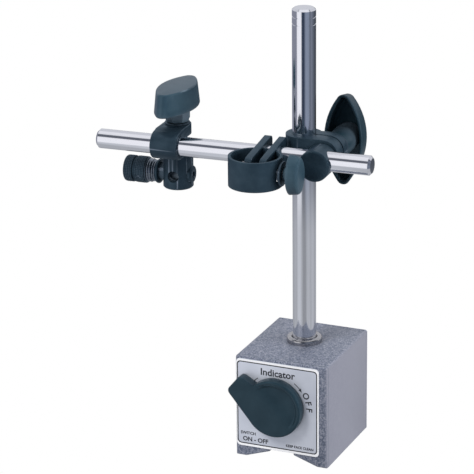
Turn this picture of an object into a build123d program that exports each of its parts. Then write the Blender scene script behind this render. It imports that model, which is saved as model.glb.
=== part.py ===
from build123d import *
import math
import os

os.makedirs("parts", exist_ok=True)

# All sizes in millimetres. X is to the right, Y to the back, Z up.
# The origin is the centre of the magnetic base's working face.

# Magnetic base
BASE_W = 50.0
BASE_D = 58.0
BASE_H = 55.0
COVER_T = 2.0
EDGE_R = 1.2
GAP_W = 3.0
RELIEF_W = 13.0
RELIEF_H = 9.0
GROOVE_W = 39.0
GROOVE_H = 4.4
ROTOR_X = -2.4
ROTOR_Z = 30.8
ROTOR_BORE_R = 16.1
ROTOR_R = 15.8
MAGNET_T = 12.0
SHAFT_R = 4.0
PLATE_X = -1.7
PLATE_Z = 29.9
PLATE_W = 45.2
PLATE_H = 48.0
PLATE_T = 0.6

# Column
COLUMN_Y = 3.0
COLUMN_R = 6.0
COLUMN_TOP = 231.0
STUD_R = 4.0
STUD_L = 7.0
COLLAR_R = 9.2
COLLAR_H = 3.2

# Arm: turned a little about the column
ARM_YAW = 3.0
ARM_Z = 158.5
ARM_V = -17.0
ARM_R = 5.0
ARM_FROM = -104.6
ARM_TO = 41.2

# Column clamp and its swivel
CLAMP_R = 9.3
CLAMP_H = 16.0
BOLT_U = 13.0
BOLT_Z = 157.3
BOLT_R = 3.0
SWIVEL_R = 8.0
SWIVEL_FRONT = -24.3
SWIVEL_BACK = -10.9
LUG_BACK = 6.0
LUG_RECESS_R = 8.3
CLAMP_KNOB_V = 22.5

# Clip on the arm and the stem holder
CLIP_U = -67.0
CLIP_V = -3.0
CLIP_W = 14.2
CLIP_TOP = 166.3
CLIP_BOTTOM = 151.3
HOLDER_R = 7.8
HOLDER_BOTTOM = 132.4
HOLDER_TOP = 151.0
DRAW_Z = 139.5
DRAW_R = 4.5
DRAW_FACE = 8.4
STEM_R = 3.0
CLIP_KNOB_Z = 174.3
CLIP_KNOB_TURN = -1.0

# Ring holder on the arm
RING_U = -13.1
RING_V = -35.8
RING_R = 13.5
RING_WALL = 1.4
RING_BOTTOM = 149.0
RING_TOP = 164.0
SCREW_Z = 156.0
SCREW_R = 2.45
CHEEK_T = 3.5
CHEEK_BOTTOM = -7.0
CHEEK_L_U = -15.4
CHEEK_R_U = -7.7
CHEEK_BACK = 8.3
CHEEK_FRONT = -23.4

# Running clearance on a radius
RUN = 0.05

# Directions of the arm's own frame: U along the arm, V across it to the back
U = Vector(math.cos(math.radians(ARM_YAW)), math.sin(math.radians(ARM_YAW)), 0)
V = Vector(-U.Y, U.X, 0)
W = Vector(0, 0, 1)


def spot(u, v, w):
    """Point of the arm's frame, which starts on the column's axis."""
    return Vector(0, COLUMN_Y, 0) + U * u + V * v + W * w


def facing_up(u, v, w):
    """Plane with x along the arm, y to the back, normal up."""
    return Plane(origin=spot(u, v, w), x_dir=U, z_dir=W)


def facing_front(u, v, w):
    """Plane with x along the arm, y up, normal to the front."""
    return Plane(origin=spot(u, v, w), x_dir=U, z_dir=-V)


def facing_back(u, v, w):
    """Plane with x against the arm, y up, normal to the back."""
    return Plane(origin=spot(u, v, w), x_dir=-U, z_dir=V)


def facing_right(u, v, w):
    """Plane with x to the back, y up, normal along the arm."""
    return Plane(origin=spot(u, v, w), x_dir=V, z_dir=U)


def almond(length, width, tip):
    """Outline of a wing knob, long along y."""
    with BuildLine() as outline:
        ThreePointArc((0, length / 2), (width / 2, 0), (0, -length / 2))
        ThreePointArc((0, -length / 2), (-width / 2, 0), (0, length / 2))
    face = make_face(outline.edges())
    fillet(face.vertices(), tip)


def wing_knob(base, mouth, crown, height, wall, tip, hub, bore_r):
    """Hollow wing knob: open mouth on base, closed crown above, hub reaching back below."""
    hub_r, hub_foot_r, hub_drop = hub
    with BuildPart() as knob:
        with BuildSketch(base):
            almond(mouth[0], mouth[1], tip)
        with BuildSketch(base.offset(height)):
            almond(crown[0], crown[1], tip)
        loft()
        with BuildSketch(base):
            almond(mouth[0] - 2.6 * wall, mouth[1] - 2 * wall, tip * 0.7)
        with BuildSketch(base.offset(height - wall)):
            almond(crown[0] - 2.6 * wall, crown[1] - 2 * wall, tip * 0.7)
        loft(mode=Mode.SUBTRACT)
        with BuildSketch(base):
            Circle(hub_r)
        extrude(amount=height - wall / 2)
        with BuildSketch(base.offset(-hub_drop)):
            Circle(hub_foot_r)
        with BuildSketch(base.offset(-hub_drop * 0.6)):
            Circle(hub_r)
        loft(ruled=True)
        with BuildSketch(base.offset(-hub_drop * 0.6)):
            Circle(hub_r)
        extrude(amount=hub_drop * 0.6)
        with BuildSketch(base.offset(-hub_drop)):
            Circle(bore_r)
        extrude(amount=hub_drop + height - 2 * wall, mode=Mode.SUBTRACT)
    return knob


def keep(piece, name):
    """Label a finished piece and write its file."""
    piece.part.label = name
    export_step(piece.part, f"parts/{name}.step")


def base_outline(width, height, left, right):
    """Half or whole front outline of the base, with its V-shaped working face."""
    with BuildLine() as outline:
        Polyline(
            (-width / 2, 0),
            (-GROOVE_W / 2, 0),
            (-RELIEF_W / 2, GROOVE_H),
            (-RELIEF_W / 2, RELIEF_H),
            (RELIEF_W / 2, RELIEF_H),
            (RELIEF_W / 2, GROOVE_H),
            (GROOVE_W / 2, 0),
            (width / 2, 0),
            (width / 2, height),
            (-width / 2, height),
            close=True,
        )
    make_face(outline.edges())
    with Locations(((left + right) / 2, height / 2)):
        Rectangle(right - left, height * 2, mode=Mode.INTERSECT)


# ---------------------------------------------------------------- magnetic base
POLE_D = BASE_D - 2 * COVER_T
SCREW_SPOTS = [(-19.5, 10.0), (19.5, 10.0), (-19.5, 48.0), (19.5, 48.0)]

for name, left, right in (
    ("pole_left", -BASE_W / 2, -GAP_W / 2),
    ("pole_right", GAP_W / 2, BASE_W / 2),
):
    with BuildPart() as pole:
        with BuildSketch(Plane.XZ.offset(-POLE_D / 2)):
            base_outline(BASE_W, BASE_H, left, right)
        extrude(amount=POLE_D)
        side = 1 if right > 20 else -1
        outer = pole.edges().filter_by(Axis.Y).sort_by(Axis.Z)[-2:].sort_by(Axis.X)
        fillet(outer[-1] if side > 0 else outer[0], EDGE_R)
        with BuildSketch(Plane.XZ.offset(-POLE_D / 2)):
            with Locations((ROTOR_X, ROTOR_Z)):
                Circle(ROTOR_BORE_R)
        extrude(amount=POLE_D, mode=Mode.SUBTRACT)
        with BuildSketch(Plane.XZ.offset(-POLE_D / 2)):
            with Locations([s for s in SCREW_SPOTS if s[0] * side > 0]):
                Circle(2.0)
        extrude(amount=10, mode=Mode.SUBTRACT)
        with BuildSketch(Plane.XY.offset(BASE_H - STUD_L - 0.1)):
            with Locations((0, COLUMN_Y)):
                Circle(STUD_R + RUN)
        extrude(amount=STUD_L + 1, mode=Mode.SUBTRACT)
    keep(pole, name)

with BuildPart() as separator:
    with BuildSketch(Plane.XZ.offset(-POLE_D / 2)):
        with Locations((0, BASE_H / 2)):
            Rectangle(GAP_W, BASE_H)
        with Locations((0, RELIEF_H / 2)):
            Rectangle(GAP_W, RELIEF_H, mode=Mode.SUBTRACT)
        with Locations((ROTOR_X, ROTOR_Z)):
            Circle(ROTOR_BORE_R, mode=Mode.SUBTRACT)
    extrude(amount=POLE_D)
    with BuildSketch(Plane.XY.offset(BASE_H - STUD_L - 0.1)):
        with Locations((0, COLUMN_Y)):
            Circle(STUD_R + RUN)
    extrude(amount=STUD_L + 1, mode=Mode.SUBTRACT)
keep(separator, "separator")

with BuildPart() as front_cover:
    with BuildSketch(Plane.XZ.offset(POLE_D / 2)):
        base_outline(BASE_W, BASE_H, -BASE_W / 2, BASE_W / 2)
    extrude(amount=COVER_T)
    fillet(front_cover.edges().filter_by(Axis.Y).sort_by(Axis.Z)[-2:], EDGE_R)
    chamfer(front_cover.faces().sort_by(Axis.Y)[0].edges(), 0.7)
    with BuildSketch(Plane.XZ.offset(POLE_D / 2)):
        with Locations((ROTOR_X, ROTOR_Z)):
            Circle(SHAFT_R + RUN)
    extrude(amount=COVER_T, mode=Mode.SUBTRACT)
keep(front_cover, "front_cover")

with BuildPart() as rear_cover:
    with BuildSketch(Plane.XZ.offset(-BASE_D / 2)):
        base_outline(BASE_W, BASE_H, -BASE_W / 2, BASE_W / 2)
    extrude(amount=COVER_T)
    fillet(rear_cover.edges().filter_by(Axis.Y).sort_by(Axis.Z)[-2:], EDGE_R)
    chamfer(rear_cover.faces().sort_by(Axis.Y)[-1].edges(), 0.7)
    with BuildSketch(Plane.XZ.offset(-BASE_D / 2)):
        with Locations(SCREW_SPOTS):
            Circle(2.05)
        with Locations((ROTOR_X, ROTOR_Z)):
            Circle(SHAFT_R + RUN)
    extrude(amount=COVER_T, mode=Mode.SUBTRACT)
keep(rear_cover, "rear_cover")

with BuildPart() as rear_cover_screws:
    with BuildSketch(Plane.XZ.offset(-BASE_D / 2)):
        with Locations(SCREW_SPOTS):
            Circle(2.0)
    extrude(amount=10)
    with BuildSketch(Plane.XZ.offset(-BASE_D / 2 - 1.8)):
        with Locations(SCREW_SPOTS):
            Circle(3.6)
    extrude(amount=1.8)
    chamfer(rear_cover_screws.faces().sort_by(Axis.Y)[-4:].edges(), 0.4)
    with BuildSketch(Plane.XZ.offset(-BASE_D / 2 - 1.8)):
        with Locations(SCREW_SPOTS):
            RegularPolygon(1.5, 6)
    extrude(amount=1.2, mode=Mode.SUBTRACT)
keep(rear_cover_screws, "rear_cover_screws")

with BuildPart() as name_plate:
    with BuildSketch(Plane.XZ.offset(BASE_D / 2)):
        with Locations((PLATE_X, PLATE_Z)):
            RectangleRounded(PLATE_W, PLATE_H, 2.0)
        with Locations((ROTOR_X, ROTOR_Z)):
            Circle(SHAFT_R + 0.5, mode=Mode.SUBTRACT)
    extrude(amount=PLATE_T)
keep(name_plate, "name_plate")

# ---------------------------------------------------------------- rotor and lever
ROTOR_L = POLE_D - 2.0

with BuildPart() as rotor_magnet:
    with BuildSketch(Plane.XZ.offset(-ROTOR_L / 2)):
        with Locations((ROTOR_X, ROTOR_Z)):
            Circle(ROTOR_R)
            Rectangle(MAGNET_T, 3 * ROTOR_R, mode=Mode.INTERSECT)
            Circle(SHAFT_R, mode=Mode.SUBTRACT)
    extrude(amount=ROTOR_L)
keep(rotor_magnet, "rotor_magnet")

with BuildPart() as rotor_pole_shoes:
    with BuildSketch(Plane.XZ.offset(-ROTOR_L / 2)):
        with Locations((ROTOR_X, ROTOR_Z)):
            Circle(ROTOR_R)
            Rectangle(MAGNET_T, 3 * ROTOR_R, mode=Mode.SUBTRACT)
    extrude(amount=ROTOR_L)
keep(rotor_pole_shoes, "rotor_pole_shoes")

KNOB_BACK = BASE_D / 2 + PLATE_T + 0.4
KNOB_T = 5.6

with BuildPart() as rotor_shaft:
    with BuildSketch(Plane.XZ.offset(-BASE_D / 2 + 0.4)):
        with Locations((ROTOR_X, ROTOR_Z)):
            Circle(SHAFT_R)
    extrude(amount=BASE_D / 2 - 0.4 + KNOB_BACK + 3.0)
keep(rotor_shaft, "rotor_shaft")

# Lever outline about the rotor's axis: two corners at the tip, then inside the disc
LEVER = [(-17.7, 15.9), (-5.0, 8.5), (0.0, 0.0), (-11.8, -9.7), (-25.2, 6.8)]
DISC_R = 15.3
DISH_R = 12.8
DISH_EDGE = 2.5
DISH_DEPTH = 1.6
DISH_TURN = -48.0

with BuildPart() as lever_knob:
    with BuildSketch(Plane.XZ.offset(KNOB_BACK)):
        with BuildLine():
            Polyline([(ROTOR_X + x, ROTOR_Z + z) for x, z in LEVER], close=True)
        bar = make_face()
        fillet(bar.vertices().sort_by(Axis.X)[:2], 2.5)
        with Locations((ROTOR_X, ROTOR_Z)):
            Circle(DISC_R)
    extrude(amount=KNOB_T)
    with BuildSketch(Plane.XZ.offset(KNOB_BACK + KNOB_T - DISH_DEPTH)):
        with Locations(Location((ROTOR_X, ROTOR_Z, 0), (0, 0, DISH_TURN))):
            Circle(DISH_R)
            with Locations((0, DISH_EDGE)):
                Rectangle(2 * DISH_R, DISH_R, align=(Align.CENTER, Align.MIN), mode=Mode.INTERSECT)
    extrude(amount=DISH_DEPTH + 1, mode=Mode.SUBTRACT)
    with BuildSketch(Plane.XZ.offset(KNOB_BACK)):
        with Locations((ROTOR_X, ROTOR_Z)):
            Circle(SHAFT_R)
    extrude(amount=3.0, mode=Mode.SUBTRACT)
keep(lever_knob, "lever_knob")

# ---------------------------------------------------------------- column
with BuildPart() as column:
    with BuildSketch(Plane.XY.offset(BASE_H + RUN)):
        with Locations((0, COLUMN_Y)):
            Circle(COLUMN_R)
    extrude(amount=COLUMN_TOP - BASE_H - RUN)
    chamfer(column.edges().sort_by(Axis.Z)[-1], 1.0)
    for drop in (4.4, 8.1):
        with BuildSketch(Plane.XY.offset(COLUMN_TOP - drop - 0.3)):
            with Locations((0, COLUMN_Y)):
                Circle(COLUMN_R + 1)
                Circle(COLUMN_R - 0.3, mode=Mode.SUBTRACT)
        extrude(amount=0.6, mode=Mode.SUBTRACT)
    with BuildSketch(Plane.XY.offset(BASE_H - STUD_L)):
        with Locations((0, COLUMN_Y)):
            Circle(STUD_R)
    extrude(amount=STUD_L + 1)
keep(column, "column")

with BuildPart() as column_collar:
    with BuildSketch(Plane.XY.offset(BASE_H)):
        with Locations((0, COLUMN_Y)):
            Circle(COLLAR_R)
            Circle(COLUMN_R + RUN, mode=Mode.SUBTRACT)
    extrude(amount=COLLAR_H)
    rim = column_collar.edges().group_by(Axis.Z)[-1].sort_by(SortBy.RADIUS)[-1]
    fillet(rim, 1.5)
keep(column_collar, "column_collar")

# ---------------------------------------------------------------- column clamp
with BuildPart() as column_clamp:
    with BuildSketch(facing_up(0, 0, ARM_Z - CLAMP_H / 2)):
        Circle(CLAMP_R)
        with Locations((13.0, (LUG_BACK - CLAMP_R) / 2)):
            Rectangle(26.0, CLAMP_R + LUG_BACK)
    extrude(amount=CLAMP_H)
    with BuildSketch(facing_front(0, 15, ARM_Z)):
        Rectangle(40.0, CLAMP_H, align=(Align.MAX, Align.CENTER))
        Rectangle(BOLT_U, CLAMP_H, align=(Align.MIN, Align.CENTER))
        with Locations((BOLT_U, 0)):
            Circle(CLAMP_H / 2)
    extrude(amount=30, mode=Mode.INTERSECT)
    with BuildSketch(facing_up(0, 0, ARM_Z - CLAMP_H / 2)):
        Circle(COLUMN_R + RUN)
        with Locations((15.0, -0.6)):
            Rectangle(30.0, 1.2)
    extrude(amount=CLAMP_H, mode=Mode.SUBTRACT)
    with BuildSketch(facing_front(BOLT_U, 15, BOLT_Z)):
        Circle(BOLT_R + RUN)
    extrude(amount=30, mode=Mode.SUBTRACT)
    with BuildSketch(facing_back(BOLT_U, LUG_BACK, BOLT_Z)):
        Circle(LUG_RECESS_R)
    extrude(amount=10, mode=Mode.SUBTRACT)
keep(column_clamp, "column_clamp")

with BuildPart() as swivel_bolt:
    with BuildSketch(facing_front(BOLT_U, SWIVEL_BACK, BOLT_Z)):
        Circle(SWIVEL_R)
    extrude(amount=SWIVEL_BACK - SWIVEL_FRONT)
    fillet(swivel_bolt.edges().sort_by(Axis.Y)[0], 0.8)
    with BuildSketch(facing_front(BOLT_U, SWIVEL_FRONT + 1.7, BOLT_Z)):
        Circle(2.0)
    with BuildSketch(facing_front(BOLT_U, SWIVEL_FRONT, BOLT_Z)):
        Circle(6.9)
    loft(mode=Mode.SUBTRACT)
    with BuildSketch(facing_back(BOLT_U, SWIVEL_BACK, BOLT_Z)):
        Circle(BOLT_R)
    extrude(amount=37.0)
    with BuildSketch(facing_right(BOLT_U - 20, ARM_V, ARM_Z)):
        Circle(ARM_R + RUN)
    extrude(amount=40, mode=Mode.SUBTRACT)
keep(swivel_bolt, "swivel_bolt")

with BuildPart() as swivel_washer:
    with BuildSketch(facing_back(BOLT_U, SWIVEL_BACK, BOLT_Z)):
        Circle(7.4)
        Circle(BOLT_R, mode=Mode.SUBTRACT)
    extrude(amount=1.5)
keep(swivel_washer, "swivel_washer")

with BuildPart() as clamp_washer:
    with BuildSketch(facing_back(BOLT_U, LUG_BACK + 0.05, BOLT_Z)):
        Circle(7.8)
        Circle(BOLT_R, mode=Mode.SUBTRACT)
    extrude(amount=1.5)
keep(clamp_washer, "clamp_washer")

with BuildPart() as clamp_spacer:
    with BuildSketch(facing_back(BOLT_U, LUG_BACK + 1.55, BOLT_Z)):
        Circle(6.6)
        Circle(BOLT_R, mode=Mode.SUBTRACT)
    extrude(amount=4.0)
keep(clamp_spacer, "clamp_spacer")

clamp_knob = wing_knob(
    facing_back(BOLT_U, CLAMP_KNOB_V, BOLT_Z),
    mouth=(52.0, 20.5),
    crown=(47.0, 19.8),
    height=11.2,
    wall=1.8,
    tip=3.6,
    hub=(7.0, 6.2, 10.8),
    bore_r=BOLT_R + RUN,
)
keep(clamp_knob, "clamp_knob")

# ---------------------------------------------------------------- arm
with BuildPart() as arm_rod:
    with BuildSketch(facing_right(ARM_FROM, ARM_V, ARM_Z)):
        Circle(ARM_R)
    extrude(amount=ARM_TO - ARM_FROM)
    chamfer(arm_rod.edges().filter_by(GeomType.CIRCLE), 1.2)
keep(arm_rod, "arm_rod")

# ---------------------------------------------------------------- clip on the arm
with BuildPart() as arm_clip:
    with BuildSketch(facing_right(CLIP_U - CLIP_W / 2, ARM_V, ARM_Z)):
        Circle(ARM_R + 2.2)
        with BuildLine():
            Polyline(
                (0.0, CLIP_BOTTOM - ARM_Z),
                (25.0, CLIP_BOTTOM - ARM_Z),
                (25.0, CLIP_TOP - ARM_Z),
                (2.0, CLIP_TOP - ARM_Z),
                (0.0, ARM_R + 2.2),
                close=True,
            )
        make_face()
        Circle(ARM_R + RUN, mode=Mode.SUBTRACT)
        with Locations((0, -0.5)):
            Rectangle(30.0, 5.0, align=(Align.MIN, Align.CENTER), mode=Mode.SUBTRACT)
    extrude(amount=CLIP_W)
    with BuildSketch(facing_up(CLIP_U, CLIP_V, CLIP_BOTTOM - 5)):
        Circle(CLIP_W / 2)
        Rectangle(CLIP_W, 30.0, align=(Align.CENTER, Align.MAX))
    extrude(amount=30, mode=Mode.INTERSECT)
    with BuildSketch(facing_up(CLIP_U, CLIP_V, CLIP_BOTTOM - 5)):
        Circle(BOLT_R)
    extrude(amount=30, mode=Mode.SUBTRACT)
keep(arm_clip, "arm_clip")

with BuildPart() as clip_bolt:
    with BuildSketch(facing_up(CLIP_U, CLIP_V, DRAW_Z + DRAW_R + 1.5)):
        Circle(BOLT_R)
    extrude(amount=181.0 - DRAW_Z - DRAW_R - 1.5)
keep(clip_bolt, "clip_bolt")

with BuildPart() as clip_washer:
    with BuildSketch(facing_up(CLIP_U, CLIP_V, CLIP_TOP)):
        Circle(6.4)
        Circle(BOLT_R, mode=Mode.SUBTRACT)
    extrude(amount=0.8)
keep(clip_washer, "clip_washer")

clip_knob = wing_knob(
    facing_up(CLIP_U, CLIP_V, CLIP_KNOB_Z).rotated((0, 0, CLIP_KNOB_TURN)),
    mouth=(48.0, 19.8),
    crown=(44.0, 17.5),
    height=11.8,
    wall=1.8,
    tip=3.6,
    hub=(7.0, 6.0, 7.0),
    bore_r=BOLT_R + RUN,
)
keep(clip_knob, "clip_knob")

# ---------------------------------------------------------------- stem holder
with BuildPart() as stem_holder:
    with BuildSketch(facing_up(CLIP_U, CLIP_V, HOLDER_BOTTOM)):
        Circle(HOLDER_R)
    extrude(amount=HOLDER_TOP - HOLDER_BOTTOM)
    chamfer(stem_holder.edges().sort_by(Axis.Z)[0], 0.6)
    with BuildSketch(facing_right(CLIP_U - 10, CLIP_V, DRAW_Z)):
        Circle(DRAW_R + RUN)
    extrude(amount=20, mode=Mode.SUBTRACT)
    with BuildSketch(facing_front(CLIP_U, CLIP_V + 10, DRAW_Z)):
        Circle(STEM_R)
    extrude(amount=20, mode=Mode.SUBTRACT)
    with BuildSketch(facing_up(CLIP_U, CLIP_V, DRAW_Z)):
        Circle(BOLT_R + RUN)
    extrude(amount=20, mode=Mode.SUBTRACT)
keep(stem_holder, "stem_holder")

with BuildPart() as draw_bolt:
    with BuildSketch(facing_right(CLIP_U + DRAW_FACE, CLIP_V, DRAW_Z)):
        Circle(DRAW_R)
    extrude(amount=-18.8)
    with BuildSketch(facing_right(CLIP_U - 10.4, CLIP_V, DRAW_Z)):
        Circle(BOLT_R)
    extrude(amount=-15.0)
    fillet(draw_bolt.edges().sort_by(Axis.X)[-1], 0.8)
    with BuildSketch(facing_right(CLIP_U + DRAW_FACE, CLIP_V, DRAW_Z)):
        Circle(1.6)
    extrude(amount=-1.0, mode=Mode.SUBTRACT)
    with BuildSketch(facing_front(CLIP_U, CLIP_V + 10, DRAW_Z)):
        Circle(STEM_R)
    extrude(amount=20, mode=Mode.SUBTRACT)
keep(draw_bolt, "draw_bolt")

RINGS = (
    ("draw_washer", -9.4, 6.3, 1.5, DRAW_R + RUN),
    ("draw_spring_ring", -10.9, 5.7, 2.4, BOLT_R),
    ("draw_thrust_ring", -13.3, 6.0, 2.6, BOLT_R),
)
for name, start, radius, thick, hole in RINGS:
    with BuildPart() as ring:
        with BuildSketch(facing_right(CLIP_U + start, CLIP_V, DRAW_Z)):
            Circle(radius)
            Circle(hole, mode=Mode.SUBTRACT)
        extrude(amount=-thick)
        fillet(ring.edges().filter_by(GeomType.CIRCLE).sort_by(SortBy.RADIUS)[-2:], 0.5)
    keep(ring, name)

with BuildPart() as knurled_nut:
    with BuildSketch(facing_right(CLIP_U - 15.95, CLIP_V, DRAW_Z)):
        Circle(7.0)
    extrude(amount=-12.2)
    fillet(knurled_nut.edges().filter_by(GeomType.CIRCLE), 0.8)
    with BuildSketch(facing_right(CLIP_U - 22.4, CLIP_V, DRAW_Z)):
        Circle(8.0)
        Circle(6.1, mode=Mode.SUBTRACT)
    extrude(amount=-0.9, mode=Mode.SUBTRACT)
    with BuildSketch(facing_right(CLIP_U - 15.9, CLIP_V, DRAW_Z)):
        Circle(BOLT_R + RUN)
    extrude(amount=-10.2, mode=Mode.SUBTRACT)
keep(knurled_nut, "knurled_nut")

# ---------------------------------------------------------------- ring holder
for name, cheek_u in (("cheek_left", CHEEK_L_U), ("cheek_right", CHEEK_R_U)):
    with BuildPart() as cheek:
        with BuildSketch(facing_right(cheek_u - CHEEK_T / 2, ARM_V, ARM_Z)):
            with BuildLine():
                Polyline(
                    (CHEEK_FRONT, 4.8),
                    (CHEEK_BACK, 8.6),
                    (CHEEK_BACK, CHEEK_BOTTOM),
                    (CHEEK_FRONT, CHEEK_BOTTOM),
                    close=True,
                )
            outline = make_face()
            fillet(outline.vertices().sort_by(Axis.Y)[-2:], 2.4)
            Circle(ARM_R + RUN, mode=Mode.SUBTRACT)
            with Locations((RING_V - ARM_V, SCREW_Z - ARM_Z)):
                Circle(SCREW_R, mode=Mode.SUBTRACT)
        extrude(amount=CHEEK_T)
    keep(cheek, name)

with BuildPart() as ring_band:
    with BuildSketch(facing_up(RING_U, RING_V, RING_BOTTOM)):
        Circle(RING_R)
        Circle(RING_R - RING_WALL, mode=Mode.SUBTRACT)
    extrude(amount=RING_TOP - RING_BOTTOM)
    with BuildSketch(facing_up(RING_U, RING_V, ARM_Z + CHEEK_BOTTOM)):
        for cheek_u in (CHEEK_L_U, CHEEK_R_U):
            with Locations((cheek_u - RING_U, RING_R)):
                Rectangle(CHEEK_T, 12.0)
    extrude(amount=RING_TOP - RING_BOTTOM, mode=Mode.SUBTRACT)
    with BuildSketch(facing_right(RING_U, RING_V, SCREW_Z)):
        RectangleRounded(9.6, 7.2, 2.0)
    extrude(amount=20, mode=Mode.SUBTRACT)
keep(ring_band, "ring_band")

with BuildPart() as cheek_spacer:
    with BuildSketch(facing_right(CHEEK_L_U + CHEEK_T / 2, RING_V, SCREW_Z)):
        Circle(4.0)
        Circle(SCREW_R, mode=Mode.SUBTRACT)
    extrude(amount=CHEEK_R_U - CHEEK_L_U - CHEEK_T)
keep(cheek_spacer, "cheek_spacer")

with BuildPart() as ring_screw:
    with BuildSketch(facing_right(CHEEK_L_U - CHEEK_T / 2, RING_V, SCREW_Z)):
        Circle(SCREW_R)
    extrude(amount=24.8)
    with BuildSketch(facing_right(CHEEK_L_U - CHEEK_T / 2, RING_V, SCREW_Z)):
        RegularPolygon(4.4, 6)
    extrude(amount=-3.0)
keep(ring_screw, "ring_screw")

with BuildPart() as ring_sleeve:
    with BuildSketch(facing_right(CHEEK_R_U + CHEEK_T / 2, RING_V, SCREW_Z)):
        Circle(3.4)
        Circle(SCREW_R, mode=Mode.SUBTRACT)
    extrude(amount=6.4)
keep(ring_sleeve, "ring_sleeve")

with BuildPart() as ring_washer:
    with BuildSketch(facing_right(CHEEK_R_U + CHEEK_T / 2 + 6.4, RING_V, SCREW_Z)):
        Circle(6.2)
        Circle(SCREW_R, mode=Mode.SUBTRACT)
    extrude(amount=1.2)
keep(ring_washer, "ring_washer")

ring_knob = wing_knob(
    facing_right(4.6, RING_V, SCREW_Z),
    mouth=(21.6, 15.0),
    crown=(20.0, 13.4),
    height=6.2,
    wall=1.4,
    tip=3.6,
    hub=(3.8, 3.4, 2.7),
    bore_r=SCREW_R + RUN,
)
keep(ring_knob, "ring_knob")
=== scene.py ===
import math

import bmesh
import bpy
from mathutils import Matrix, Vector


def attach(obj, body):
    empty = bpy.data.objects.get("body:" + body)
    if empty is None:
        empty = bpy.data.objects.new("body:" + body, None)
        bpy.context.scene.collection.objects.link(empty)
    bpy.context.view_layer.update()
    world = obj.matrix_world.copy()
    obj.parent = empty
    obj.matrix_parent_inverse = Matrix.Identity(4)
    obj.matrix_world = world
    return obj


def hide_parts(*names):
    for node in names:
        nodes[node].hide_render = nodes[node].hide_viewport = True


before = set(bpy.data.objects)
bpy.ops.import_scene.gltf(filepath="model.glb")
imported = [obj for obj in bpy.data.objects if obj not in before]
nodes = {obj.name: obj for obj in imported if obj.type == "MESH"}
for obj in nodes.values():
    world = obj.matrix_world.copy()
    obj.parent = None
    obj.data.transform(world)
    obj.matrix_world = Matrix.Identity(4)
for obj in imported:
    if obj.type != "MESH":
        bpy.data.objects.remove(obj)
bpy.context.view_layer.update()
MM = 0.001


# ------------------------------------------------------------------ driving sizes, mm
COLUMN_Y = 3.0
COLUMN_R = 6.0
COLUMN_TOP = 231.0
BASE_W = 50.0
BASE_D = 58.0
BASE_H = 55.0
ARM_YAW = math.radians(3.0)
ARM_Z = 158.5
ARM_V = -17.0
ARM_R = 5.0
ARM_FROM = -104.6
ARM_TO = 41.2
BOLT_U = 13.0
BOLT_R = 3.0
CLIP_U = -67.0
CLIP_V = -3.0
DRAW_Z = 139.5
RING_V = -35.8
SCREW_Z = 156.0
SCREW_R = 2.45
SCREW_U = -17.15
BOLT_Z = 157.3
PLATE_FACE = -29.6
SEAM_W = 0.9
FRONT_SEAM_Y = 2.0 - BASE_D / 2
ROTOR_X = -2.4
ROTOR_Z = 30.8
BORE_REACH = 16.3
RUN = 0.05

U = Vector((math.cos(ARM_YAW), math.sin(ARM_YAW), 0))
V = Vector((-math.sin(ARM_YAW), math.cos(ARM_YAW), 0))
W = Vector((0, 0, 1))
X_AXIS = Vector((1, 0, 0))
Y_AXIS = Vector((0, 1, 0))


def spot(u, v, w):
    """Point of the arm's frame in metres."""
    return (Vector((0, COLUMN_Y, 0)) + U * u + V * v + W * w) * MM


def plane(origin, x_axis, y_axis):
    """Matrix that puts local millimetres at a place of the row frame."""
    z_axis = x_axis.cross(y_axis)
    turn = Matrix((x_axis, y_axis, z_axis)).transposed().to_4x4()
    return Matrix.Translation(origin) @ turn @ Matrix.Scale(MM, 4)


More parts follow.
